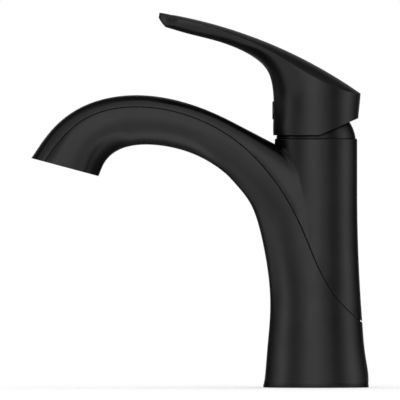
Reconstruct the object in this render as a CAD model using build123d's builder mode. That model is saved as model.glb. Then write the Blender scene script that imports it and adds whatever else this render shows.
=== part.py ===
"""Single-lever bathroom basin mixer, built as it comes apart on a bench.

Millimetres. The origin is the centre of the foot on the deck, +Z is up and the spout points to -X.
"""

import math
import os

from build123d import *

# Foot and column
base_radius = 24.8
column_radius = 19.4
flare_height = 92.0
rim_height = 116.8
ring_height = 1.3
wall = 2.2
rim_chamfer = 0.4

# Seam between the front and the rear shell, side view (x, z)
seam_gap = 0.4
seam_depth = 0.9
seam_points = [
    (-130.5, 99.0),
    (-119.4, 116.7),
    (-108.1, 126.1),
    (-84.1, 131.5),
    (-57.0, 126.3),
    (-40.4, 117.6),
    (-19.3, 96.4),
    (-6.6, 73.9),
    (3.3, 51.3),
    (14.6, 36.3),
    (27.0, 27.5),
]

# Swell of the column's front towards the spout: heights, front reach at the last two, fullness
swell_heights = (31.0, 46.0, 61.0)
swell_front = (21.75, 23.65)
swell_fullness = 2.1
root_height = 64.0
root_reach = 24.0
root_shift = 4.0
root_half = 19.34
root_back = 11.0

# Spout sections: underside point (x, z), tilt of the section, its depth below and above the widest
# line, half width, fullness below and above
neck_section = ((-27.2, 77.0), 4, 27.2, 17.0, 19.45, 2.25, 2.0)
spout_sections = [
    ((-33.2, 90.0), 19, 21.0, 14.0, 17.8, 2.2, 3.0),
    ((-41.3, 99.3), 38, 15.5, 10.3, 16.9, 2.2, 3.2),
    ((-50.5, 106.1), 53, 13.0, 9.0, 16.6, 2.2, 3.4),
    ((-63.0, 111.5), 70, 12.5, 9.2, 16.4, 2.2, 3.6),
    ((-78.0, 114.0), 90, 13.2, 9.8, 16.2, 2.2, 3.6),
    ((-89.0, 112.9), 110, 14.0, 10.6, 16.0, 2.2, 3.4),
    ((-97.3, 108.2), 134, 15.4, 12.1, 15.7, 2.2, 3.2),
    ((-100.3, 103.8), 150, 16.2, 13.6, 15.4, 2.3, 3.0),
    ((-102.2, 99.2), 165, 17.0, 15.7, 15.0, 2.4, 3.0),
]

# Handle
pivot_height = rim_height - 2.4
skirt_radius = 20.0
skirt_bottom = rim_height + 1.6
skirt_cut_start = 1.4
skirt_cut_angle = 23.4
crown_along = 224.0
crown_across = 44.0
crown_middle = (-26.3, rim_height + 46.6)
crown_slope = 21.3
crown_reach = 75.0
nose_tip = -74.4
nose_start = -66.5
nose_half = 9.7
bow_low = (-60.0, rim_height + 48.7)
bow_middle = (-71.2, rim_height + 53.0)
bow_high = (-75.2, rim_height + 61.2)
handle_sections = [
    ((-20.0, rim_height + 10.7), 5, 20.1, 20.4, 20.1, 2.0, 2.0),
    ((-20.05, rim_height + 20.2), 15, 20.6, 21.5, 20.3, 2.05, 2.2),
    ((-21.7, rim_height + 29.5), 30, 15.0, 24.0, 20.0, 2.1, 2.6),
    ((-25.3, rim_height + 35.1), 45, 10.5, 22.0, 18.0, 2.1, 2.6),
    ((-33.4, rim_height + 40.7), 58, 7.4, 14.0, 15.6, 2.1, 2.6),
    ((-46.0, rim_height + 45.7), 68, 6.4, 12.0, 13.2, 2.1, 2.6),
    ((-60.0, rim_height + 49.3), 75, 6.0, 11.0, 11.0, 2.1, 2.6),
    ((-74.6, rim_height + 53.1), 80, 6.0, 11.0, 9.6, 2.1, 2.6),
]

# Dome cap under the handle
dome_radius = 18.85
dome_wall = 1.25
dome_opening = 13.0
skirt_clearance = 0.35

# Cartridge
cartridge_radius = 12.5
cartridge_wall = 1.5
cartridge_floor = rim_height - 24.8
cartridge_flange_top = rim_height - 3.8
cartridge_flange = 2.0
flange_radius = 13.9
neck_radius = 9.5
neck_wall = 1.5
neck_top = rim_height + 2.7
cartridge_base_height = 3.5
disc_height = 3.0
port_radius = 2.0
port_x = 3.0
port_y = 5.6
outlet_port_x = -5.4
outlet_port_radius = 2.6
disc_offset = 1.8
moving_disc_radius = 8.8
carrier_height = 4.6
ball_arm = 9.4
ball_radius = 2.4
arm_radius = 1.5
spindle_size = 7.0
spindle_top = rim_height + 26.2
pin_radius = 1.5
running_fit = 0.05
loose_fit = 0.15
rotor_flange_radius = 10.7
rotor_flange = 1.8
stop_height = 1.8
stop_half_angle = 62.0
lug_half_angle = 10.0

# Valve body and the nut that holds the cartridge
cup_radius = 15.5
cup_top = rim_height - 0.6
cup_floor = 4.0
nut_radius = 14.2
nut_hex = 25.0
nut_hex_height = 3.4
ledge_bottom = rim_height - 10.8
ledge_height = 1.6
shoulder_radius = 16.9
body_block_radius = 13.0
body_block_bottom = rim_height - 42.8

# Waterways
riser_radius = 3.5
riser_bore = 2.6
riser_y = 7.4
socket_depth = 6.0
tube_radius = 4.8
tube_bore = 3.6
tube_turn = 45.0
tube_end_turn = 11.5
tube_rise_angle = 131.3
tube_start = (-9.6, rim_height - 37.8)
tube_socket = 14.0
outlet_neck_length = 5.0
o_ring = 0.8

# Foot block, fasteners and deck seal
foot_radius = base_radius - 7.8
foot_bottom = 1.4
foot_top = 20.0
inlet_radius = 4.5
inlet_depth = 11.0
stud_radius = 3.4
stud_depth = 12.0
stud_x = -9.0
screw_circle = foot_radius - 2.7
screw_radius = 1.25
screw_head_radius = 2.3
screw_head = 1.8
screw_angles = [0, 125, 235]
lug_ring_radius = foot_radius - 4.4
lug_ring_height = 4.0
ring_inner = base_radius - 4.8
lip_clearance = 0.9
gasket_inner = ring_inner - 4.8

# Outlet
outlet_recess = 1.0
plate_thickness = 2.5
plate_clearance = 0.35
aerator_radius = 9.2
aerator_depth = 5.2
aerator_boss = 10.8
aerator_wall = 1.4
washer_height = 1.0
key_slots = 12
grid_pitch = 2.2
outlet_neck = 6.6

# Index button and set screw
button_height = rim_height + 13.3
button_radius = 4.3
button_depth = 3.0
button_proud = 0.5
set_screw_radius = 2.1
set_screw_length = 7.5
boss_radius = 6.0
boss_bottom = rim_height + 9.7
web_half = 3.6
web_bottom = rim_height + 10.4

fit = 0.05
seat = 0.02

flare_drop = base_radius - column_radius
flare_arc = (flare_height**2 + flare_drop**2) / (2 * flare_drop)


def column_r(height):
    """Outer radius of the column; the flare is one large arc that ends upright."""
    below = max(flare_height - height, 0.0)
    return column_radius + below**2 / (2 * flare_arc)


def egg(start, tilt, lower, upper, half, full_lower, full_upper, inset=0.0, beyond=0.0):
    """Closed section from four smooth quarters, each a superellipse, on a plane through start."""
    lean = math.radians(tilt)
    along = Vector(math.cos(lean), 0, math.sin(lean))
    middle = Vector(start[0], 0, start[1]) + along * lower
    place = Plane(origin=middle, x_dir=along, z_dir=(-along.Z, 0, along.X)).offset(beyond)

    def quarter(reach, fullness, side):
        points = []
        for step in range(5):
            turn = math.pi / 8 * step
            part_x = abs(math.cos(turn) / reach) ** fullness
            part_y = abs(math.sin(turn) / (half - inset)) ** fullness
            radius = (part_x + part_y) ** (-1 / fullness)
            points.append((side * radius * math.cos(turn), radius * math.sin(turn)))
        return points

    under = quarter(lower - inset, full_lower, -1)
    over = quarter(upper - inset, full_upper, 1)
    ahead, back, left, right = (1, 0), (-1, 0), (0, 1), (0, -1)
    quarters = [
        Edge.make_spline(under, tangents=[left, ahead]),
        Edge.make_spline(over[::-1], tangents=[ahead, right]),
        Edge.make_spline([(x, -y) for x, y in over], tangents=[right, back]),
        Edge.make_spline([(x, -y) for x, y in under[::-1]], tangents=[back, left]),
    ]
    return place.location * Face(Wire(quarters))


def horn(sections, inset=0.0, before=0.0, after=0.0):
    """Loft through the sections, with the ends moved outwards by before and after."""
    faces = []
    for place, values in enumerate(sections):
        beyond = 0.0
        if place == 0:
            beyond = -before
        if place == len(sections) - 1:
            beyond = after
        faces.append(egg(*values, inset=inset, beyond=beyond))
    with BuildPart() as form:
        loft(faces)
    return form.part


def foot_section(height, front, fullness):
    """Level section of the column with its front drawn out to the given reach."""
    radius = column_r(height)
    return ((-front, height), 0, front, radius, radius, fullness, 2.0)


def below_seam(shift):
    """Everything below the seam, each of its points moved square to the line by shift."""
    last = len(seam_points) - 1
    line = []
    for place, point in enumerate(seam_points):
        before = seam_points[max(place - 1, 0)]
        after = seam_points[min(place + 1, last)]
        run, rise = after[0] - before[0], after[1] - before[1]
        length = math.hypot(run, rise)
        line.append((point[0] - shift * rise / length, point[1] + shift * run / length))
    with BuildPart() as region:
        with BuildSketch(Plane.XZ):
            with BuildLine():
                Spline(*line)
                Polyline(
                    line[-1],
                    (line[-1][0] + column_radius, -column_radius),
                    (line[0][0] - column_radius, -column_radius),
                    (line[0][0] - column_radius, line[0][1] - column_radius),
                    line[0],
                )
            make_face()
        extrude(amount=2 * base_radius, both=True)
    return region.part


def column(inset, bottom, top):
    """Turned column with its flare, inset from the outer face."""
    middle = (bottom + flare_height) / 2
    low = (column_r(bottom) - inset, bottom)
    bend = (column_r(middle) - inset, middle)
    high = (column_radius - inset, flare_height)
    with BuildPart() as form:
        with BuildSketch(Plane.XZ):
            with BuildLine():
                ThreePointArc(low, bend, high)
                Polyline(high, (high[0], top), (0, top), (0, bottom), low)
            make_face()
        revolve(axis=Axis.Z)
    return form.part


swell_start, swell_middle, swell_end = swell_heights
foot_sections = [
    foot_section(ring_height, column_r(ring_height), 2.0),
    foot_section(ring_height + swell_start / 2, column_r(ring_height + swell_start / 2), 2.0),
    foot_section(swell_start, column_r(swell_start), 2.0),
    foot_section(swell_middle, swell_front[0], 2.0),
    foot_section(swell_end, swell_front[1], swell_fullness),
    neck_section,
]

# The root of the rear shell follows the same front; its widest line lies just ahead of the column's
neck_start, neck_tilt, neck_lower, neck_upper, neck_half, neck_full, neck_back = neck_section
root_sections = [
    ((-root_reach, root_height), 0, root_reach - root_shift, root_back, root_half, 2.0, 2.0),
    (neck_start, neck_tilt, neck_lower - root_shift, root_back, root_half, 1.95, neck_back),
]

# Front shell: foot, front of the column and belly of the spout, with the ring that the foot bolts to
inner_radius = column_radius - wall
with BuildPart() as front_body_shell:
    add(horn(foot_sections + spout_sections))
    add(below_seam(0), mode=Mode.INTERSECT)
    add(horn(foot_sections + spout_sections, wall, 2.0, 1.5), mode=Mode.SUBTRACT)
    with Locations((0, 0, rim_height)):
        Cylinder(inner_radius, 2 * (rim_height - swell_end), mode=Mode.SUBTRACT)
    with BuildSketch(Plane.XY.offset(foot_top)):
        Circle(column_r(foot_top) - wall / 2)
        Circle(lug_ring_radius, mode=Mode.SUBTRACT)
    extrude(amount=lug_ring_height)
    for angle in screw_angles:
        with Locations((0, 0, foot_top)):
            with PolarLocations(screw_circle, 1, start_angle=angle):
                Cylinder(screw_radius, 2 * lug_ring_height + 1, mode=Mode.SUBTRACT)

# Rear shell: back and top of the column and roof of the spout, with the ledge that the cap clamps.
# Its edge meets the front shell inside and leaves a narrow groove outside.
with BuildPart() as seam_groove:
    add(below_seam(seam_gap))
    add(horn(foot_sections + spout_sections, seam_depth, 3.0, 3.0), mode=Mode.SUBTRACT)

with BuildPart() as rear_body_shell:
    add(column(0, ring_height, rim_height))
    add(horn(root_sections + spout_sections))
    add(below_seam(seat), mode=Mode.SUBTRACT)
    add(seam_groove.part, mode=Mode.SUBTRACT)
    add(horn(root_sections + spout_sections, wall, 0.0, 1.5), mode=Mode.SUBTRACT)
    add(column(wall, foot_top, rim_height + wall), mode=Mode.SUBTRACT)
    with BuildSketch(Plane.XY.offset(ledge_bottom)):
        Circle(inner_radius + wall / 4)
        Circle(cup_radius + loose_fit, mode=Mode.SUBTRACT)
    extrude(amount=ledge_height)
    rim_edges = rear_body_shell.edges().filter_by(GeomType.CIRCLE).group_by(Axis.Z)[-1]
    chamfer(rim_edges.sort_by(SortBy.RADIUS)[-1], rim_chamfer)

# Deck ring and seal
with BuildPart() as base_ring:
    with BuildSketch():
        Circle(base_radius)
        Circle(ring_inner, mode=Mode.SUBTRACT)
    extrude(amount=ring_height)
    ring_lip = column_r(3 * ring_height) - wall - lip_clearance
    with BuildSketch(Plane.XY.offset(ring_height)):
        Circle(ring_lip)
        Circle(ring_inner, mode=Mode.SUBTRACT)
    extrude(amount=2 * ring_height)

with BuildPart() as base_gasket:
    with BuildSketch():
        Circle(ring_inner - fit)
        Circle(gasket_inner, mode=Mode.SUBTRACT)
    extrude(amount=foot_bottom - seat)

# Foot block with the inlets, the stud thread and the riser sockets
with BuildPart() as foot_block:
    with BuildSketch(Plane.XY.offset(foot_bottom)):
        Circle(foot_radius)
    extrude(amount=foot_top - foot_bottom)
    chamfer(foot_block.edges().sort_by(Axis.Z)[0], 0.6)
    with Locations(Location((0, 0, foot_bottom), (180, 0, 0))):
        with Locations((port_x, riser_y), (port_x, -riser_y)):
            Hole(inlet_radius, inlet_depth)
            Hole(riser_bore, foot_top - foot_bottom)
        with Locations((stud_x, 0)):
            Hole(stud_radius, stud_depth)
    with Locations((0, 0, foot_top)):
        with Locations((port_x, riser_y), (port_x, -riser_y)):
            Hole(riser_radius + fit, socket_depth)
            Hole(riser_radius + 2 * o_ring, 2 * o_ring)
    for angle in screw_angles:
        with PolarLocations(screw_circle, 1, start_angle=angle):
            with Locations((0, 0, foot_bottom)):
                Cylinder(screw_head_radius + loose_fit, 2 * (screw_head + loose_fit), mode=Mode.SUBTRACT)
                Cylinder(screw_radius + loose_fit, 3 * foot_top, mode=Mode.SUBTRACT)

with BuildPart() as foot_screws:
    for angle in screw_angles:
        with PolarLocations(screw_circle, 1, start_angle=angle):
            with Locations((0, 0, foot_bottom + loose_fit)):
                Cylinder(screw_head_radius, screw_head, align=(Align.CENTER, Align.CENTER, Align.MIN))
                Cylinder(
                    screw_radius - seat,
                    foot_top - foot_bottom + lug_ring_height - 1,
                    align=(Align.CENTER, Align.CENTER, Align.MIN),
                )
    with BuildSketch(Plane.XY.offset(foot_bottom + loose_fit)):
        for angle in screw_angles:
            with PolarLocations(screw_circle, 1, start_angle=angle):
                RegularPolygon(screw_radius, 6, major_radius=False)
    extrude(amount=screw_head - 2 * loose_fit, mode=Mode.SUBTRACT)

# Riser tubes and their seals
riser_bottom = foot_top - socket_depth + seat
riser_top = body_block_bottom + socket_depth - seat


def riser(side):
    """Straight copper tube between the foot and the valve body."""
    with BuildPart() as tube:
        with BuildSketch(Plane.XY.offset(riser_bottom)):
            with Locations((port_x, side * riser_y)):
                Circle(riser_radius)
                Circle(riser_bore, mode=Mode.SUBTRACT)
        extrude(amount=riser_top - riser_bottom)
    return tube.part


with BuildPart() as hot_riser_tube:
    add(riser(1))
with BuildPart() as cold_riser_tube:
    add(riser(-1))

def seal(radius):
    """O-ring about a tube, its section an octagon."""
    with BuildPart() as ring:
        with BuildSketch(Plane.XZ):
            with Locations((radius + o_ring, 0)):
                RegularPolygon(o_ring - seat, 8, major_radius=False, rotation=22.5)
        revolve(axis=Axis.Z)
    return ring.part


with BuildPart() as riser_o_rings:
    for height in (foot_top - o_ring, body_block_bottom + o_ring):
        with Locations((port_x, riser_y, height), (port_x, -riser_y, height)):
            add(seal(riser_radius))

# Waterway through the spout
crest_start, crest_tilt, crest_lower, crest_upper = spout_sections[4][:4]
tube_run_height = crest_start[1] + (crest_lower + crest_upper) / 2
tube_lean = math.radians(tube_rise_angle)
tube_way = Vector(math.cos(tube_lean), 0, math.sin(tube_lean))
tube_rise = (tube_run_height - tube_start[1]) / tube_way.Z
tube_corner = (tube_start[0] + tube_way.X * tube_rise, tube_run_height)
end_section = spout_sections[-1]
end_lean = math.radians(end_section[1])
end_along = Vector(math.cos(end_lean), 0, math.sin(end_lean))
end_length = end_section[2] + end_section[3]
end_middle = Vector(end_section[0][0], 0, end_section[0][1]) + end_along * (end_length / 2)
end_out = Vector(-end_along.Z, 0, end_along.X)
outlet = Plane(origin=end_middle, x_dir=(0, 1, 0), z_dir=end_out)
socket_floor = outlet_recess + aerator_depth + washer_height + 1.6
tube_end = end_middle - end_out * (socket_floor + seat)
tube_drop = (tube_run_height - tube_end.Z) / -end_out.Z
tube_bend = (tube_end.X - end_out.X * tube_drop, tube_run_height)

with BuildPart() as spout_tube:
    with BuildLine(Plane.XZ) as tube_path:
        FilletPolyline(
            tube_start,
            tube_corner,
            tube_bend,
            (tube_end.X, tube_end.Z),
            radius=[tube_turn, tube_end_turn],
        )
    with BuildSketch(Plane(origin=tube_path.line @ 0, z_dir=tube_path.line % 0)):
        Circle(tube_radius)
        Circle(tube_bore, mode=Mode.SUBTRACT)
    sweep(path=tube_path.line)

tube_mouth = Vector(tube_start[0], 0, tube_start[1]) + tube_way * tube_socket
rear_seal = tube_mouth - tube_way * (2 * o_ring)
front_seal = tube_end - end_out * (outlet_neck_length - 2 * o_ring)
with BuildPart() as spout_tube_o_rings:
    with Locations(Plane(origin=rear_seal, z_dir=tube_way), Plane(origin=front_seal, z_dir=end_out)):
        add(seal(tube_radius))

# Valve body: cup for the cartridge, block for the risers and a socket for the spout tube
cup_bottom = cartridge_floor - cup_floor
with BuildPart() as valve_body:
    with BuildSketch(Plane.XY.offset(body_block_bottom)):
        Circle(body_block_radius)
    extrude(amount=cup_bottom - body_block_bottom)
    with BuildSketch(Plane.XY.offset(cup_bottom)):
        Circle(cup_radius)
    extrude(amount=cup_top - cup_bottom)
    with BuildSketch(Plane.XY.offset(cup_bottom)):
        Circle(shoulder_radius)
    extrude(amount=ledge_bottom - seat - cup_bottom)
    with BuildSketch(Plane(origin=(tube_start[0], 0, tube_start[1]), z_dir=tube_way)):
        Circle(tube_radius + 2 * o_ring + 1.2)
    extrude(amount=tube_socket)
    with Locations((0, 0, cup_top)):
        Hole(cartridge_radius + fit, cup_top - cartridge_floor)
        Hole(nut_radius + fit, cup_top - cartridge_flange_top + cartridge_flange)
    with Locations((0, 0, cartridge_floor)):
        with Locations((port_x, riser_y - 0.8), (port_x, 0.8 - riser_y)):
            Hole(port_radius, cartridge_floor - body_block_bottom)
        with Locations((outlet_port_x, 0)):
            Hole(outlet_port_radius, cartridge_floor - tube_start[1])
    with Locations(Location((0, 0, body_block_bottom), (180, 0, 0))):
        with Locations((port_x, riser_y), (port_x, -riser_y)):
            Hole(riser_radius + fit, socket_depth)
            Hole(riser_radius + 2 * o_ring, 2 * o_ring)
    with Locations(Plane(origin=tube_mouth, z_dir=tube_way)):
        Hole(tube_radius + fit, tube_socket)
    with Locations(Plane(origin=rear_seal, z_dir=tube_way)):
        Cylinder(tube_radius + 2 * o_ring, 2 * o_ring, mode=Mode.SUBTRACT)

# Outlet insert in the end of the spout
with BuildPart() as outlet_slab:
    with BuildSketch(outlet.offset(-outlet_recess)):
        Rectangle(2 * end_length, 2 * end_length)
    extrude(amount=-plate_thickness)

with BuildPart() as outlet_insert:
    add(horn(root_sections + spout_sections, wall + plate_clearance))
    add(outlet_slab.part, mode=Mode.INTERSECT)
    with BuildSketch(outlet.offset(-outlet_recess)):
        Circle(aerator_boss)
    extrude(amount=-(aerator_depth + washer_height + 1.0))
    with BuildSketch(outlet.offset(-outlet_recess)):
        Circle(outlet_neck)
    extrude(amount=-(socket_floor - outlet_recess + outlet_neck_length))
    with Locations(outlet.offset(-outlet_recess)):
        Hole(aerator_radius + fit, aerator_depth + washer_height)
        Hole(tube_bore, socket_floor)
    with Locations(outlet.offset(-socket_floor)):
        Hole(tube_radius + fit, 3 * outlet_neck_length)
    with Locations(Plane(origin=front_seal, z_dir=end_out)):
        Cylinder(tube_radius + 2 * o_ring, 2 * o_ring, mode=Mode.SUBTRACT)

# Aerator, from the outside in
aerator_face = outlet.offset(-outlet_recess)
aerator_bore = aerator_radius - aerator_wall
with BuildPart() as aerator_housing:
    with BuildSketch(aerator_face):
        Circle(aerator_radius)
        Circle(aerator_bore, mode=Mode.SUBTRACT)
    extrude(amount=-(aerator_depth - seat))
    with BuildSketch(aerator_face):
        with PolarLocations(aerator_radius, key_slots):
            Rectangle(1.2, 1.6)
    extrude(amount=-1.2, mode=Mode.SUBTRACT)
    with BuildSketch(aerator_face.offset(-1.0)):
        Circle(aerator_bore)
        with GridLocations(grid_pitch, grid_pitch, 7, 7):
            Rectangle(grid_pitch - 0.5, grid_pitch - 0.5, mode=Mode.SUBTRACT)
    extrude(amount=-1.2)

with BuildPart() as aerator_screen:
    with BuildSketch(aerator_face.offset(-2.4)):
        Circle(aerator_bore - fit)
        with PolarLocations(4.2, 10):
            Circle(0.9, mode=Mode.SUBTRACT)
    extrude(amount=-0.4)

with BuildPart() as aerator_flow_regulator:
    with BuildSketch(aerator_face.offset(-3.0)):
        Circle(aerator_bore - fit)
        with PolarLocations(5.6, 12):
            Circle(0.7, mode=Mode.SUBTRACT)
    extrude(amount=-(aerator_depth - 3.0 - seat))

with BuildPart() as aerator_washer:
    with BuildSketch(aerator_face.offset(-aerator_depth)):
        Circle(aerator_radius)
        Circle(tube_bore + 1.2, mode=Mode.SUBTRACT)
    extrude(amount=-(washer_height - seat))

# Cartridge, from the floor of the cup upwards
sleeve_bore = cartridge_radius - cartridge_wall
disc_bottom = cartridge_floor + cartridge_base_height
moving_bottom = disc_bottom + disc_height + seat
carrier_bottom = moving_bottom + disc_height
carrier_top = carrier_bottom + carrier_height
ball_height = pivot_height - ball_arm
rotor_bottom = carrier_top + 1.2
rotor_shoulder = rotor_bottom + rotor_flange
rotor_top = neck_top + 0.3
upright = (Align.CENTER, Align.CENTER, Align.MIN)

with BuildPart() as cartridge_housing:
    with Locations((0, 0, cartridge_floor)):
        Cylinder(cartridge_radius, cartridge_flange_top - cartridge_floor, align=upright)
        Cylinder(neck_radius + neck_wall, neck_top - cartridge_floor, align=upright)
    with Locations((0, 0, cartridge_flange_top - cartridge_flange)):
        Cylinder(flange_radius, cartridge_flange, align=upright)
    with Locations((0, 0, cartridge_floor)):
        Cylinder(
            sleeve_bore,
            rotor_shoulder + running_fit - cartridge_floor,
            align=upright,
            mode=Mode.SUBTRACT,
        )
        Cylinder(neck_radius, neck_top, align=upright, mode=Mode.SUBTRACT)

port_places = [(port_x, port_y), (port_x, -port_y)]
seal_height = 1.0
with BuildPart() as cartridge_base:
    with BuildSketch(Plane.XY.offset(cartridge_floor + seat)):
        Circle(sleeve_bore - fit)
        with Locations(*port_places):
            Circle(port_radius, mode=Mode.SUBTRACT)
        with Locations((outlet_port_x, 0)):
            Circle(outlet_port_radius, mode=Mode.SUBTRACT)
    extrude(amount=cartridge_base_height - 2 * seat)
    with BuildSketch(Plane.XY.offset(cartridge_floor)):
        with Locations(*port_places):
            Circle(port_radius + 1.2)
        with Locations((outlet_port_x, 0)):
            Circle(outlet_port_radius + 1.2)
    extrude(amount=seal_height, mode=Mode.SUBTRACT)

with BuildPart() as cartridge_base_seals:
    with BuildSketch(Plane.XY.offset(cartridge_floor + seat)):
        with Locations(*port_places):
            Circle(port_radius + 1.2 - seat)
            Circle(port_radius, mode=Mode.SUBTRACT)
        with Locations((outlet_port_x, 0)):
            Circle(outlet_port_radius + 1.2 - seat)
            Circle(outlet_port_radius, mode=Mode.SUBTRACT)
    extrude(amount=seal_height - 2 * seat)

with BuildPart() as fixed_ceramic_disc:
    with BuildSketch(Plane.XY.offset(disc_bottom)):
        Circle(sleeve_bore - fit)
        with Locations(*port_places):
            Circle(port_radius, mode=Mode.SUBTRACT)
        with Locations((outlet_port_x, 0)):
            Circle(outlet_port_radius, mode=Mode.SUBTRACT)
    extrude(amount=disc_height)

with BuildPart() as moving_ceramic_disc:
    with Locations((disc_offset, 0, moving_bottom)):
        Cylinder(moving_disc_radius, disc_height - seat, align=upright)
    with BuildSketch(Plane.XY.offset(moving_bottom)):
        with Locations((disc_offset - 2.6, 0)):
            SlotOverall(9.0, 5.0, rotation=90)
    extrude(amount=disc_height / 2, mode=Mode.SUBTRACT)

carrier_half = 6.0
with BuildPart() as disc_carrier:
    with Locations((disc_offset, 0, carrier_bottom)):
        Cylinder(moving_disc_radius, carrier_height, align=upright)
        Box(
            4 * moving_disc_radius,
            2 * carrier_half,
            carrier_height,
            align=upright,
            mode=Mode.INTERSECT,
        )
    with Locations((0, 0, carrier_top)):
        Hole(ball_radius + loose_fit, carrier_height - 0.6)

slot_half = 6.6
leg_half = 5.0
leg_thickness = 2.0
with BuildPart() as lever_guide:
    with Locations((0, 0, rotor_bottom)):
        Cylinder(rotor_flange_radius, rotor_flange, align=upright)
        Cylinder(neck_radius - running_fit, rotor_top - rotor_bottom, align=upright)
    leg_place = carrier_half + loose_fit + leg_thickness / 2
    leg_bottom = carrier_bottom + 0.5
    with Locations((0, leg_place, leg_bottom), (0, -leg_place, leg_bottom)):
        Box(2 * leg_half, leg_thickness, rotor_bottom - leg_bottom, align=upright)
    with BuildSketch(Plane.XY.offset(rotor_top)):
        with BuildLine():
            CenterArc((0, 0), neck_radius + neck_wall - 0.1, -lug_half_angle, 2 * lug_half_angle)
            CenterArc((0, 0), slot_half + 0.9, -lug_half_angle, 2 * lug_half_angle)
            for turn in (-lug_half_angle, lug_half_angle):
                lean = math.radians(turn)
                inner = slot_half + 0.9
                outer = neck_radius + neck_wall - 0.1
                Line(
                    (inner * math.cos(lean), inner * math.sin(lean)),
                    (outer * math.cos(lean), outer * math.sin(lean)),
                )
        make_face()
    extrude(amount=stop_height - 0.3)
    with Locations((0, 0, leg_bottom)):
        Box(
            2 * slot_half,
            spindle_size + 2 * loose_fit,
            rotor_top,
            align=upright,
            mode=Mode.SUBTRACT,
        )
    with Locations(Plane(origin=(0, 0, pivot_height), z_dir=(0, 1, 0))):
        Cylinder(pin_radius + seat, 2 * neck_radius, mode=Mode.SUBTRACT)

with BuildPart() as lever_pin:
    with Locations(Plane(origin=(0, 0, pivot_height), z_dir=(0, 1, 0))):
        Cylinder(pin_radius, 2 * (neck_radius - 0.6))

with BuildPart() as spindle:
    block_bottom = pivot_height - spindle_size / 2 - 0.5
    with Locations((0, 0, block_bottom)):
        Box(spindle_size, spindle_size, spindle_top - block_bottom, align=upright)
    chamfer(spindle.faces().sort_by(Axis.Z)[-1].edges(), 0.6)
    with Locations((0, 0, ball_height)):
        Cylinder(arm_radius, block_bottom - ball_height, align=upright)
        Sphere(ball_radius)
    with Locations(Plane(origin=(0, 0, pivot_height), z_dir=(0, 1, 0))):
        Cylinder(pin_radius + running_fit, 2 * spindle_size, mode=Mode.SUBTRACT)

with BuildPart() as temperature_stop_ring:
    with BuildSketch(Plane.XY.offset(neck_top + seat)):
        Circle(neck_radius + neck_wall)
        Circle(neck_radius + 0.3, mode=Mode.SUBTRACT)
        with BuildLine():
            far = 3 * neck_radius
            sweep_lean = math.radians(stop_half_angle)
            corner = (far * math.cos(sweep_lean), far * math.sin(sweep_lean))
            Polyline((0, 0), corner, (3 * far, 0), (corner[0], -corner[1]), (0, 0))
        make_face(mode=Mode.SUBTRACT)
    extrude(amount=stop_height)

with BuildPart() as cartridge_nut:
    with Locations((0, 0, cartridge_flange_top + seat)):
        Cylinder(nut_radius, cup_top - cartridge_flange_top, align=upright)
    with BuildSketch(Plane.XY.offset(cup_top + seat)):
        RegularPolygon(nut_hex / 2, 6, major_radius=False)
    extrude(amount=nut_hex_height)
    with Locations((0, 0, cup_top + nut_hex_height)):
        Hole(neck_radius + neck_wall + loose_fit)

# Dome cap, screwed over the cup; its skirt holds the ledge of the rear shell down
dome_inner = dome_radius - dome_wall
flange_z = rim_height + 1.2


def dome_r(height, radius):
    """Radius of a sphere about the pivot at a height."""
    return math.sqrt(radius**2 - (height - pivot_height) ** 2)


def dome_z(reach, radius):
    """Height of a sphere about the pivot at a radius."""
    return pivot_height + math.sqrt(radius**2 - reach**2)


skirt_inner = cup_radius + 2 * fit
skirt_outer = inner_radius - loose_fit
dome_mid = rim_height + 7.2
with BuildPart() as dome_cap:
    with BuildSketch(Plane.XZ):
        with BuildLine():
            skirt_foot = ledge_bottom + ledge_height + seat
            outer_low = (dome_r(rim_height, dome_radius), rim_height)
            outer_high = (dome_opening, dome_z(dome_opening, dome_radius))
            inner_high = (dome_opening, dome_z(dome_opening, dome_inner))
            inner_low = (dome_r(flange_z, dome_inner), flange_z)
            ThreePointArc(outer_low, (dome_r(dome_mid, dome_radius), dome_mid), outer_high)
            Line(outer_high, inner_high)
            ThreePointArc(inner_high, (dome_r(dome_mid, dome_inner), dome_mid), inner_low)
            Polyline(
                inner_low,
                (skirt_inner, flange_z),
                (skirt_inner, skirt_foot),
                (skirt_outer, skirt_foot),
                (skirt_outer, rim_height),
                outer_low,
            )
        make_face()
    revolve(axis=Axis.Z)

# Handle: one loft from the round skirt to the nose, under a crowned top
crown_lean = math.radians(crown_slope)
crown_way = (math.cos(crown_lean), 0, -math.sin(crown_lean))
crown_centre = (
    crown_middle[0] - crown_across * math.sin(crown_lean),
    0,
    crown_middle[1] - crown_across * math.cos(crown_lean),
)
skirt_start = (-skirt_radius, skirt_bottom - 1)
skirt_section = (skirt_start, 0, skirt_radius, skirt_radius, skirt_radius, 2.0, 2.0)
with BuildPart() as handle_cavity:
    with Locations((0, 0, pivot_height)):
        Sphere(dome_radius + skirt_clearance)
    with Locations((0, 0, boss_bottom)):
        Cylinder(boss_radius, dome_radius, align=upright, mode=Mode.SUBTRACT)
    web_reach = dome_opening - 0.6
    with Locations((-web_reach / 2, 0, web_bottom)):
        Box(web_reach, 2 * web_half, dome_radius, align=upright, mode=Mode.SUBTRACT)

with BuildPart() as handle_plan:
    with BuildSketch(Plane.XY.offset(pivot_height)):
        with BuildLine():
            ThreePointArc((nose_start, nose_half), (nose_tip, 0), (nose_start, -nose_half))
            Polyline(
                (nose_start, -nose_half),
                (nose_start / 2, -2 * skirt_radius),
                (2 * skirt_radius, -2 * skirt_radius),
                (2 * skirt_radius, 2 * skirt_radius),
                (nose_start / 2, 2 * skirt_radius),
                (nose_start, nose_half),
            )
        make_face()
    extrude(amount=5 * skirt_radius, both=True)

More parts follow.
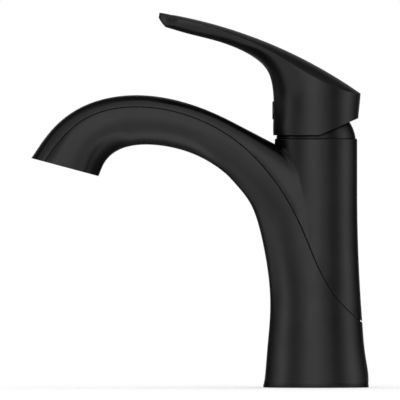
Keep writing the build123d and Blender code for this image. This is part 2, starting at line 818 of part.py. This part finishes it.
crown_drop = crown_along - math.sqrt(crown_along**2 - crown_reach**2)
crown_low = crown_across - crown_drop
with BuildPart() as handle_crown:
    with BuildSketch(Plane(origin=crown_centre, x_dir=crown_way, z_dir=(0, -1, 0))):
        with BuildLine():
            ThreePointArc((-crown_reach, crown_low), (0, crown_across), (crown_reach, crown_low))
            Polyline(
                (crown_reach, crown_low),
                (crown_reach, 0),
                (-crown_reach, 0),
                (-crown_reach, crown_low),
            )
        make_face()
    revolve(axis=Axis(crown_centre, crown_way))

with BuildPart() as handle:
    add(horn([skirt_section] + handle_sections))
    add(handle_plan.part, mode=Mode.INTERSECT)
    with BuildSketch(Plane.XZ):
        with BuildLine():
            ThreePointArc(bow_low, bow_middle, bow_high)
            Polyline(
                bow_high,
                (bow_high[0] - skirt_radius, bow_high[1]),
                (bow_high[0] - skirt_radius, bow_low[1] - skirt_radius),
                (bow_low[0], bow_low[1] - skirt_radius),
                bow_low,
            )
        make_face()
    extrude(amount=2 * skirt_radius, both=True, mode=Mode.SUBTRACT)
    add(handle_crown.part, mode=Mode.INTERSECT)
    with BuildSketch(Plane.XZ):
        with BuildLine():
            cut_lean = math.radians(skirt_cut_angle)
            cut_end = (
                skirt_cut_start + 3 * skirt_radius * math.cos(cut_lean),
                skirt_bottom + 3 * skirt_radius * math.sin(cut_lean),
            )
            Polyline(
                (-3 * skirt_radius, skirt_bottom),
                (skirt_cut_start, skirt_bottom),
                cut_end,
                (cut_end[0], skirt_bottom - 10),
                (-3 * skirt_radius, skirt_bottom - 10),
                close=True,
            )
        make_face()
    extrude(amount=2 * skirt_radius, both=True, mode=Mode.SUBTRACT)
    add(handle_cavity.part, mode=Mode.SUBTRACT)
    socket_size = spindle_size + 2 * fit
    with Locations((0, 0, boss_bottom - 1)):
        Box(
            socket_size,
            socket_size,
            spindle_top + 0.5 - boss_bottom + 1,
            align=upright,
            mode=Mode.SUBTRACT,
        )
    with Locations(Plane(origin=(-skirt_radius - 1, 0, button_height), z_dir=(-1, 0, 0))):
        Hole(set_screw_radius + seat, skirt_radius + 1)
        Hole(button_radius + fit, button_depth + 1)

with BuildPart() as handle_set_screw:
    screw_back = -(spindle_size / 2 + seat)
    with Locations(Plane(origin=(screw_back, 0, button_height), z_dir=(-1, 0, 0))):
        Cylinder(set_screw_radius, set_screw_length, align=upright)
    screw_front = screw_back - set_screw_length
    with BuildSketch(Plane(origin=(screw_front, 0, button_height), z_dir=(-1, 0, 0))):
        RegularPolygon(1.25, 6, major_radius=False)
    extrude(amount=-3, mode=Mode.SUBTRACT)

with BuildPart() as index_button:
    button_back = -(skirt_radius - button_depth + seat)
    with Locations(Plane(origin=(button_back, 0, button_height), z_dir=(-1, 0, 0))):
        Cylinder(button_radius, button_depth + button_proud, align=upright)
    fillet(index_button.edges().sort_by(Axis.X)[0], 0.4)

nodes = {
    "front_body_shell": front_body_shell,
    "rear_body_shell": rear_body_shell,
    "base_ring": base_ring,
    "base_gasket": base_gasket,
    "foot_block": foot_block,
    "foot_screws": foot_screws,
    "hot_riser_tube": hot_riser_tube,
    "cold_riser_tube": cold_riser_tube,
    "riser_o_rings": riser_o_rings,
    "valve_body": valve_body,
    "spout_tube": spout_tube,
    "spout_tube_o_rings": spout_tube_o_rings,
    "outlet_insert": outlet_insert,
    "aerator_washer": aerator_washer,
    "aerator_flow_regulator": aerator_flow_regulator,
    "aerator_screen": aerator_screen,
    "aerator_housing": aerator_housing,
    "cartridge_housing": cartridge_housing,
    "cartridge_base": cartridge_base,
    "cartridge_base_seals": cartridge_base_seals,
    "fixed_ceramic_disc": fixed_ceramic_disc,
    "cartridge_nut": cartridge_nut,
    "temperature_stop_ring": temperature_stop_ring,
    "dome_cap": dome_cap,
    "lever_guide": lever_guide,
    "lever_pin": lever_pin,
    "disc_carrier": disc_carrier,
    "moving_ceramic_disc": moving_ceramic_disc,
    "handle": handle,
    "spindle": spindle,
    "handle_set_screw": handle_set_screw,
    "index_button": index_button,
}
os.makedirs("parts", exist_ok=True)
for name, node in nodes.items():
    node.part.label = name
    export_step(node.part, f"parts/{name}.step")
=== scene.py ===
"""Looks for the single-lever basin mixer: satin black coat, hidden waterway parts, studio light and camera.

Metres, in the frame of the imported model: the foot's centre on the deck is the origin, the spout points to -X.
"""

import math

import bpy
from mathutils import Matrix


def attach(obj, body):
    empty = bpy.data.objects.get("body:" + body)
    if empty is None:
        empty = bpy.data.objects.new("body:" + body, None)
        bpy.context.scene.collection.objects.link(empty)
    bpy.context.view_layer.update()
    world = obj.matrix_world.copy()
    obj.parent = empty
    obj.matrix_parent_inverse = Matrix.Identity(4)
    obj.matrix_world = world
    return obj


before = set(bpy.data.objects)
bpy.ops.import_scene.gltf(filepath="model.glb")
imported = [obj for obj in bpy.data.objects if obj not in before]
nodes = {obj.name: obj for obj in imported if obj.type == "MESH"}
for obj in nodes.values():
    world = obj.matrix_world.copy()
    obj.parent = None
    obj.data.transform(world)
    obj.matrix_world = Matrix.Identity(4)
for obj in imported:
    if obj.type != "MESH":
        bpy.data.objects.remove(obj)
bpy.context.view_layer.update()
bpy.ops.object.select_all(action="DESELECT")

MM = 0.001

# Coat
EDGE_RADIUS = 0.5 * MM
RING_EDGE_RADIUS = 0.2 * MM
ROOT_RADIUS = 4.0 * MM
# Painted shade in crevices and gaps between parts: how far the occlusion reaches, and its near-black colour
CREVICE_SHADE_REACH = 1.4 * MM
PAINTED_CREVICE_SHADE = (0.004, 0.004, 0.004)

# Sizes of the solids that the finishes and threads refer to
FLARE_TOP = 92 * MM
FLARE_ARC = 786.6 * MM
BUTTON_CENTRE = (0, 0, 130.1 * MM)
BUTTON_FACE_X = -20.3 * MM
INLET_X, INLET_Y, INLET_BORE = 3.0 * MM, 7.4 * MM, 4.5 * MM
STUD_X, STUD_BORE = -9.0 * MM, 3.4 * MM
THREAD_BOTTOM = 2.3 * MM
THREAD_PITCH = 1.0 * MM
THREAD_RIDGE = 0.45 * MM
THREAD_STEPS = 28

# Studio
MIDDLE = (-0.045, 0.0, 0.095)
AMBIENT = 0.70
FLAG_DISTANCE = 1.2
FLAG_HEIGHT = 2.4
FLOOR_SIZE = 1.6
FLOOR_DROP = 0.1 * MM
FLOOR_GLOW = 0.32

# Camera
VIEW_CENTRE = (-0.0545, 0.088)
VIEW_WIDTH = 0.188
CAMERA_DISTANCE = 8.0
SENSOR_WIDTH = 36.0


class Wire:
    """One output socket of a material's tree, with the arithmetic that the finishes use."""

    def __init__(self, tree, socket):
        self.tree = tree
        self.socket = socket

    def node(self, kind, settings=None, inputs=None, out=0):
        """Adds a node, sets it up, feeds its sockets and gives one of its outputs."""
        made = self.tree.nodes.new(kind)
        for name, value in (settings or {}).items():
            setattr(made, name, value)
        for name, value in (inputs or {}).items():
            if isinstance(value, Wire):
                self.tree.links.new(value.socket, made.inputs[name])
            else:
                made.inputs[name].default_value = value
        return Wire(self.tree, made.outputs[out])

    def math(self, operation, a, b=0.0):
        return self.node("ShaderNodeMath", {"operation": operation}, {0: a, 1: b})

    def __add__(self, other):
        return self.math("ADD", self, other)

    def __radd__(self, other):
        return self.math("ADD", other, self)

    def __sub__(self, other):
        return self.math("SUBTRACT", self, other)

    def __rsub__(self, other):
        return self.math("SUBTRACT", other, self)

    def __mul__(self, other):
        return self.math("MULTIPLY", self, other)

    def __rmul__(self, other):
        return self.math("MULTIPLY", other, self)

    def __gt__(self, other):
        return self.math("GREATER_THAN", self, other)

    def band(self, low, high):
        """0 below low, 1 above high, smooth between."""
        settings = {"interpolation_type": "SMOOTHSTEP"}
        return self.node("ShaderNodeMapRange", settings, {"Value": self, "From Min": low, "From Max": high})

    def noise(self, scale, detail=2.0, roughness=0.5):
        """Noise on this vector."""
        inputs = {"Vector": self, "Scale": scale, "Detail": detail, "Roughness": roughness}
        return self.node("ShaderNodeTexNoise", {}, inputs)

    def axis(self, name):
        return self.node("ShaderNodeSeparateXYZ", {}, {"Vector": self}, name)

    def tint(self, first, second):
        """Mixes two colours by this mask."""
        made = self.tree.nodes.new("ShaderNodeMix")
        made.data_type = "RGBA"
        # The node lists the sockets of all its types: 6, 7 and output 2 are the colours
        self.tree.links.new(self.socket, made.inputs["Factor"])
        for socket, value in zip((made.inputs[6], made.inputs[7]), (first, second)):
            if isinstance(value, Wire):
                self.tree.links.new(value.socket, socket)
            else:
                socket.default_value = (*value, 1.0)
        return Wire(self.tree, made.outputs[2])

    def blend(self, first, second):
        """Mixes two vectors by this mask."""
        made = self.tree.nodes.new("ShaderNodeMix")
        made.data_type = "VECTOR"
        # 4, 5 and output 1 are the vectors
        for socket, wire in ((made.inputs[0], self), (made.inputs[4], first), (made.inputs[5], second)):
            self.tree.links.new(wire.socket, socket)
        return Wire(self.tree, made.outputs[1])

    def scaled(self, x, y, z):
        """This vector, stretched along the axes."""
        return self.node("ShaderNodeVectorMath", {"operation": "MULTIPLY"}, {0: self, 1: (x, y, z)})

    def bump(self, strength, distance, normal=None):
        """Normal of this height on top of another normal."""
        inputs = {"Height": self, "Strength": strength, "Distance": distance}
        if normal is not None:
            inputs["Normal"] = normal
        return self.node("ShaderNodeBump", {}, inputs)


def finish(name, **constants):
    """A new material; gives it with its place vector and its shader."""
    material = bpy.data.materials.new(name)
    material.use_nodes = True
    tree = material.node_tree
    shader = tree.nodes["Principled BSDF"]
    for socket, value in constants.items():
        shader.inputs[socket.replace("_", " ")].default_value = value
    place = tree.nodes.new("ShaderNodeTexCoord")
    return material, Wire(tree, place.outputs["Object"]), shader


def feed(shader, **wires):
    """Links wires to the shader's sockets of those names."""
    for socket, wire in wires.items():
        wire.tree.links.new(wire.socket, shader.inputs[socket.replace("_", " ")])


def rounded_edges(place, radius):
    """Normal with the sharp edges rounded, and a mask of those edges."""
    soft = place.node("ShaderNodeBevel", {"samples": 6}, {"Radius": radius})
    true = place.node("ShaderNodeNewGeometry", {}, {}, "True Normal")
    along = place.node("ShaderNodeVectorMath", {"operation": "DOT_PRODUCT"}, {0: soft, 1: true}, "Value")
    return soft, (1.0 - along).band(0.02, 0.25)


def satin_black(name, radius, shade=0.030, worn=0.055, rim=0.31, blend=None, shape=None):
    """Baked black coat: faint grain, cloudy gloss, edges rubbed a little brighter, and painted shade darkening
    it in crevices and gaps between parts.

    Where the mask blend is 1 the edges run into each other over some millimetres. The function shape tunes
    the shading normal.
    """
    material, place, shader = finish(name, Metallic=1.0, Specular_Tint=(rim, rim, rim, 1.0))
    soft, edge = rounded_edges(place, radius)
    if blend is not None:
        broad = place.node("ShaderNodeBevel", {"samples": 12}, {"Radius": ROOT_RADIUS})
        soft = blend(place).blend(soft, broad)
    if shape is not None:
        soft = shape(place, soft)
    # Painted shade: ambient occlusion turns the coat near-black in crevices, grooves and gaps between parts
    openness = place.node("ShaderNodeAmbientOcclusion", {"samples": 8}, {"Distance": CREVICE_SHADE_REACH}, "AO")
    outside_painted_shade = openness.band(0.45, 0.92)
    grain = place.noise(5200.0, 2.0, 0.6)
    cloud = place.noise(55.0, 3.0, 0.55)
    rub = place.noise(420.0, 4.0, 0.65).band(0.42, 0.68)
    wear = edge * rub
    dark = cloud.band(0.3, 0.7).tint((shade * 0.93,) * 3, (shade * 1.06, shade * 1.06, shade * 1.08))
    feed(
        shader,
        Base_Color=outside_painted_shade.tint(PAINTED_CREVICE_SHADE, wear.tint(dark, (worn, worn, worn * 1.02))),
        Roughness=0.32 + 0.05 * cloud + 0.04 * grain - 0.04 * wear,
        Normal=grain.bump(0.12, 0.03 * MM, soft),
    )
    return material


def moulded(name, colour, roughness):
    """Moulded plastic with a fine spark texture."""
    material, place, shader = finish(name)
    spark = place.noise(2600.0, 3.0, 0.6)
    cloud = place.noise(90.0, 2.0, 0.5)
    darker = tuple(0.86 * c for c in colour)
    feed(
        shader,
        Base_Color=cloud.band(0.3, 0.7).tint(darker, colour),
        Roughness=roughness + 0.10 * spark,
        Normal=spark.bump(0.25, 0.04 * MM),
    )
    return material


def turned(name, colour, roughness, stretch):
    """Turned or drawn metal: fine lines round or along the piece, with cloudy tarnish."""
    material, place, shader = finish(name, Metallic=1.0)
    drawn = place.node("ShaderNodeMapping", {}, {"Vector": place, "Scale": stretch})
    lines = drawn.noise(900.0, 3.0, 0.6)
    cloud = place.noise(140.0, 4.0, 0.6)
    darker = tuple(0.62 * c for c in colour)
    feed(
        shader,
        Base_Color=(cloud.band(0.35, 0.7) * 0.8).tint(colour, darker),
        Roughness=roughness + 0.12 * lines + 0.08 * cloud,
        Normal=lines.bump(0.2, 0.03 * MM),
    )
    return material


def sealing_rubber(name):
    """Matt black rubber with a pale bloom."""
    material, place, shader = finish(name)
    speck = place.noise(1500.0, 4.0, 0.65)
    bloom = place.noise(60.0, 3.0, 0.6)
    feed(
        shader,
        Base_Color=bloom.band(0.4, 0.75).tint((0.012, 0.012, 0.012), (0.028, 0.028, 0.027)),
        Roughness=0.62 + 0.16 * speck,
        Normal=speck.bump(0.3, 0.05 * MM),
    )
    return material


def lapped_ceramic(name):
    """Smooth off-white ceramic with faint specks."""
    material, place, shader = finish(name)
    speck = place.noise(1900.0, 2.0, 0.5)
    feed(
        shader,
        Base_Color=speck.band(0.45, 0.7).tint((0.82, 0.81, 0.77), (0.70, 0.69, 0.66)),
        Roughness=0.12 + 0.08 * speck,
        Normal=speck.bump(0.05, 0.01 * MM),
    )
    return material


def index_mark(name):
    """Satin button with a short red arc on the hot side and a blue one on the cold side."""
    material, place, shader = finish(name, Specular_IOR_Level=0.4)
    centre = place.node("ShaderNodeVectorMath", {"operation": "SUBTRACT"}, {0: place, 1: BUTTON_CENTRE})
    across, up = centre.axis("Y"), centre.axis("Z")
    reach = centre.math("SQRT", across * across + up * up)
    ring = reach.band(2.35 * MM, 2.42 * MM) * (1.0 - reach.band(2.98 * MM, 3.05 * MM))
    side = centre.math("ABSOLUTE", across, 0.0).band(0.75 * MM, 0.82 * MM)
    front = 1.0 - place.axis("X").band(BUTTON_FACE_X, BUTTON_FACE_X + 0.1 * MM)
    hot = across > 0.0
    colour = hot.tint((0.03, 0.10, 0.42), (0.45, 0.02, 0.02))
    grain = place.noise(3000.0, 2.0, 0.5)
    feed(
        shader,
        Base_Color=(ring * side * front).tint((0.011, 0.011, 0.012), colour),
        Roughness=0.34 + 0.08 * grain,
        Normal=grain.bump(0.1, 0.02 * MM),
    )
    return material


def spout_root(place):
    """Where the roof of the spout runs into the column, below the rim."""
    along, up = place.axis("X"), place.axis("Z")
    ahead = (1.0 - along.band(-12 * MM, -4 * MM)) * along.band(-36 * MM, -28 * MM)
    return ahead * (1.0 - up.band(110.5 * MM, 113.5 * MM)) * up.band(78 * MM, 88 * MM)


def lever_nose(place):
    """The last millimetres of the lever."""
    return 1.0 - place.axis("X").band(-69 * MM, -62 * MM)


def turned_face(place, normal, lean, where):
    """Normal of a face turned about the column's axis, with its lean, on the outward faces of a region."""
    out = place.node("ShaderNodeVectorMath", {"operation": "NORMALIZE"}, {0: place.scaled(1, 1, 0)})
    local = place.node("ShaderNodeCombineXYZ", {}, {"X": out.axis("X"), "Y": out.axis("Y"), "Z": lean})
    spaces = {"vector_type": "NORMAL", "convert_from": "OBJECT", "convert_to": "WORLD"}
    true = place.node("ShaderNodeVectorTransform", spaces, {"Vector": local})
    facing = place.node("ShaderNodeVectorMath", {"operation": "DOT_PRODUCT"}, {0: normal, 1: true}, "Value")
    return (where * facing.band(0.70, 0.90)).blend(normal, true)


def roof_crease(place, normal):
    """Crisp line along both sides of the spout's roof."""
    side = normal.math("ABSOLUTE", normal.axis("Y")).band(0.69, 0.78)
    along = place.axis("X")
    reach = 1.0 - along.band(-34 * MM, -20 * MM)
    roof = along.band(-72 * MM, -44 * MM).blend(normal.scaled(1, 0.64, 1), normal.scaled(1, 1.25, 1))
    return reach.blend(normal, side.blend(roof, normal.scaled(0.45, 1, 0.45)))


def outlet_throat(place, normal):
    """Rounder inner side of the spout's end."""
    inner = normal.axis("X").band(-0.06, 0.2) * (1.0 - place.axis("X").band(-96 * MM, -86 * MM))
    return inner.blend(normal, normal.scaled(2.1, 1, 1.9))


def front_form(place, normal):
    """Outlet and belly of the spout, and the flared column below its swell and behind it."""
    along, up = place.axis("X"), place.axis("Z")
    below = 1.0 - up.band(24 * MM, 46 * MM)
    behind = along.band(-5 * MM, 5 * MM) * (1.0 - up.band(62 * MM, 84 * MM))
    lean = (FLARE_TOP - up) * (1.0 / FLARE_ARC)
    belly = along.band(-62 * MM, -44 * MM) * (1.0 - along.band(-20 * MM, -10 * MM))
    under = belly * up.band(44 * MM, 62 * MM) * (1.0 - normal.axis("Z").band(-0.30, -0.05))
    eased = under.blend(outlet_throat(place, normal), normal.scaled(1, 1, 0.35))
    return turned_face(place, eased, lean, below.math("MAXIMUM", below, behind))


def lever_form(place, normal):
    """Upright skirt, and a lever whose flanks turn under late."""
    along, up = place.axis("X"), place.axis("Z")
    behind = along.band(-12 * MM, 0 * MM)
    skirt = 1.0 - (up - 12 * MM * behind).band(130 * MM, 140 * MM)
    upright = turned_face(place, normal, 0.0, skirt)
    flank = (1.0 - along.band(-36 * MM, -26 * MM)) * (1.0 - normal.axis("Z").band(-0.1, 0.0))
    return flank.blend(upright, normal.scaled(1, 1, 0.45))


brass = turned("turned_brass", (0.60, 0.43, 0.17), 0.24, (1, 1, 14))
front_coat = satin_black("satin_black_front", EDGE_RADIUS, shape=front_form)
rear_coat = satin_black("satin_black_rear", EDGE_RADIUS, blend=spout_root, shape=roof_crease)
lever_coat = satin_black("satin_black_lever", EDGE_RADIUS, rim=0.37, blend=lever_nose, shape=lever_form)
looks = {
    satin_black("satin_black_coat", EDGE_RADIUS): ["dome_cap"],
    front_coat: ["front_body_shell"],
    rear_coat: ["rear_body_shell"],
    lever_coat: ["handle"],
    satin_black("satin_black_ring", RING_EDGE_RADIUS): ["base_ring"],
    moulded("black_plastic", (0.012, 0.012, 0.013), 0.38): ["outlet_insert", "aerator_housing"],
    moulded("pale_plastic", (0.62, 0.62, 0.60), 0.36): [
        "aerator_flow_regulator",
        "cartridge_housing",
        "cartridge_base",
        "temperature_stop_ring",
        "lever_guide",
        "disc_carrier",
    ],
    brass: [
        "foot_block",
        "valve_body",
        "cartridge_nut",
        "spindle",
    ],
    turned("drawn_copper", (0.70, 0.33, 0.20), 0.26, (10, 10, 1)): [
        "hot_riser_tube",
        "cold_riser_tube",
        "spout_tube",
    ],
    turned("bright_steel", (0.56, 0.56, 0.55), 0.24, (1, 1, 10)): [
        "foot_screws",
        "aerator_screen",
        "lever_pin",
        "handle_set_screw",
    ],
    sealing_rubber("seal_rubber"): [
        "base_gasket",
        "riser_o_rings",
        "spout_tube_o_rings",
        "aerator_washer",
        "cartridge_base_seals",
    ],
    lapped_ceramic("lapped_ceramic"): ["fixed_ceramic_disc", "moving_ceramic_disc"],
    index_mark("index_button_face"): ["index_button"],
}
for material, names in looks.items():
    for name in names:
        piece = nodes[name]
        piece.data.materials.clear()
        piece.data.materials.append(material)


def bore_thread(name, x, y, bore, turns):
    """Helical ridge on the wall of a bore, wound up from a small triangle."""
    bpy.ops.object.select_all(action="DESELECT")
    bpy.ops.mesh.primitive_circle_add(
        vertices=3,
        radius=THREAD_RIDGE,
        location=(bore, 0, 0),
        rotation=(math.radians(90), math.radians(-90), 0),
    )
    ridge = bpy.context.object
    ridge.name = name
    bpy.ops.object.transform_apply(location=True, rotation=True, scale=True)
    coil = ridge.modifiers.new("coil", "SCREW")
    coil.axis = "Z"
    coil.screw_offset = THREAD_PITCH
    coil.iterations = turns
    coil.steps = coil.render_steps = THREAD_STEPS
    coil.use_merge_vertices = False
    bpy.ops.object.modifier_apply(modifier="coil")
    bpy.ops.object.mode_set(mode="EDIT")
    bpy.ops.mesh.select_all(action="SELECT")
    bpy.ops.mesh.fill_holes(sides=3)
    bpy.ops.mesh.select_all(action="SELECT")
    bpy.ops.mesh.normals_make_consistent(inside=False)
    bpy.ops.object.mode_set(mode="OBJECT")
    ridge.location = (x, y, THREAD_BOTTOM)
    bpy.ops.object.transform_apply(location=True, rotation=True, scale=True)
    bpy.ops.object.shade_smooth_by_angle(angle=math.radians(40))
    ridge.data.materials.clear()
    ridge.data.materials.append(brass)
    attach(ridge, "tap_body")


# Threads in the foot: the two inlets and the fixing stud
bore_thread("hot_inlet_thread", INLET_X, INLET_Y, INLET_BORE, 8)
bore_thread("cold_inlet_thread", INLET_X, -INLET_Y, INLET_BORE, 8)
bore_thread("stud_thread", STUD_X, 0.0, STUD_BORE, 9)

# Studio: white surround, soft front, side and top lights, and a grey flag either side of the camera
world = bpy.data.worlds.new("studio")
bpy.context.scene.world = world
world.use_nodes = True
surround = world.node_tree
light_path = surround.nodes.new("ShaderNodeLightPath")
camera_ray = Wire(surround, light_path.outputs["Is Camera Ray"])
glossy_ray = Wire(surround, light_path.outputs["Is Glossy Ray"])
through_ray = Wire(surround, light_path.outputs["Is Transmission Ray"])
shown = camera_ray.math("MAXIMUM", camera_ray.math("MAXIMUM", camera_ray, glossy_ray), through_ray)
backdrop = surround.nodes["Background"]
backdrop.inputs["Color"].default_value = (1, 1, 1, 1)
surround.links.new((AMBIENT + (1.0 - AMBIENT) * shown).socket, backdrop.inputs["Strength"])


def softbox(name, azimuth, elevation, distance, width, height, radiance):
    """Area light on a sphere about the object, facing it. Azimuth 0 is the camera's side."""
    turn, rise = math.radians(azimuth), math.radians(elevation)
    way = (math.sin(turn) * math.cos(rise), -math.cos(turn) * math.cos(rise), math.sin(rise))
    place = [m + distance * w for m, w in zip(MIDDLE, way)]
    bpy.ops.object.light_add(type="AREA", location=place)
    lamp = bpy.context.object
    lamp.name = name
    lamp.data.shape = "RECTANGLE"
    lamp.data.size = width
    lamp.data.size_y = height
    lamp.data.energy = radiance * math.pi * width * height
    lamp.rotation_euler = (math.radians(90) - rise, 0, turn)
    lamp.visible_camera = False


# Azimuth and elevation in degrees, distance, width and height in metres, radiance
softbox("front_softbox", -6, 3, 1.6, 1.00, 0.9, 0.95)
softbox("left_softbox", -88, 2, 1.3, 0.50, 1.1, 1.0)
softbox("right_softbox", 92, 2, 1.3, 0.50, 1.1, 1.1)
softbox("top_softbox", 180, 82, 1.3, 0.7, 0.5, 0.8)
softbox("floor_bounce", 180, -87, 0.092, 0.30, 0.22, 0.8)


def flag(name, azimuth, width, level):
    """Upright grey card that only reflections see; it fades to white towards its upright edges."""
    turn = math.radians(azimuth)
    aside, ahead = FLAG_DISTANCE * math.sin(turn), FLAG_DISTANCE * math.cos(turn)
    place = (MIDDLE[0] + aside, MIDDLE[1] - ahead, MIDDLE[2])
    bpy.ops.mesh.primitive_plane_add(size=1.0, location=place, rotation=(math.radians(90), 0, turn))
    card = bpy.context.object
    card.name = name
    card.scale = (width, FLAG_HEIGHT, 1.0)
    card.visible_camera = card.visible_diffuse = card.visible_shadow = False
    grey, spot, shader = finish(name + "_grey", Specular_IOR_Level=0.0, Emission_Strength=1.0)
    shader.inputs["Base Color"].default_value = (0.0, 0.0, 0.0, 1.0)
    edge = spot.math("ABSOLUTE", spot.axis("X")).band(0.10, 0.50)
    feed(shader, Emission_Color=edge.tint((level,) * 3, (1.0, 1.0, 1.0)))
    card.data.materials.append(grey)


flag("left_flag", -52, 1.05, 0.22)
flag("right_flag", 51, 1.15, 0.0)

# Floor under the foot
bpy.ops.mesh.primitive_plane_add(size=FLOOR_SIZE, location=(MIDDLE[0], 0, -FLOOR_DROP))
floor = bpy.context.object
floor.name = "studio_floor"
paper, paper_place, paper_shader = finish("floor_paper", Roughness=0.9, Specular_IOR_Level=0.1)
fibre = paper_place.noise(220.0, 3.0, 0.6)
feed(paper_shader, Base_Color=fibre.tint((0.86, 0.86, 0.86), (0.90, 0.90, 0.90)))
paper_shader.inputs["Emission Color"].default_value = (1, 1, 1, 1)
paper_shader.inputs["Emission Strength"].default_value = FLOOR_GLOW
floor.data.materials.append(paper)

# Camera: square on to the side of the tap, from far away
spot = (VIEW_CENTRE[0], -CAMERA_DISTANCE, VIEW_CENTRE[1])
bpy.ops.object.camera_add(location=spot, rotation=(math.radians(90), 0, 0))
camera = bpy.context.object
camera.data.sensor_width = SENSOR_WIDTH
camera.data.lens = SENSOR_WIDTH * CAMERA_DISTANCE / VIEW_WIDTH
camera.data.clip_start = 0.01
camera.data.clip_end = 100.0
bpy.context.scene.camera = camera

bpy.context.scene.view_settings.view_transform = "Standard"
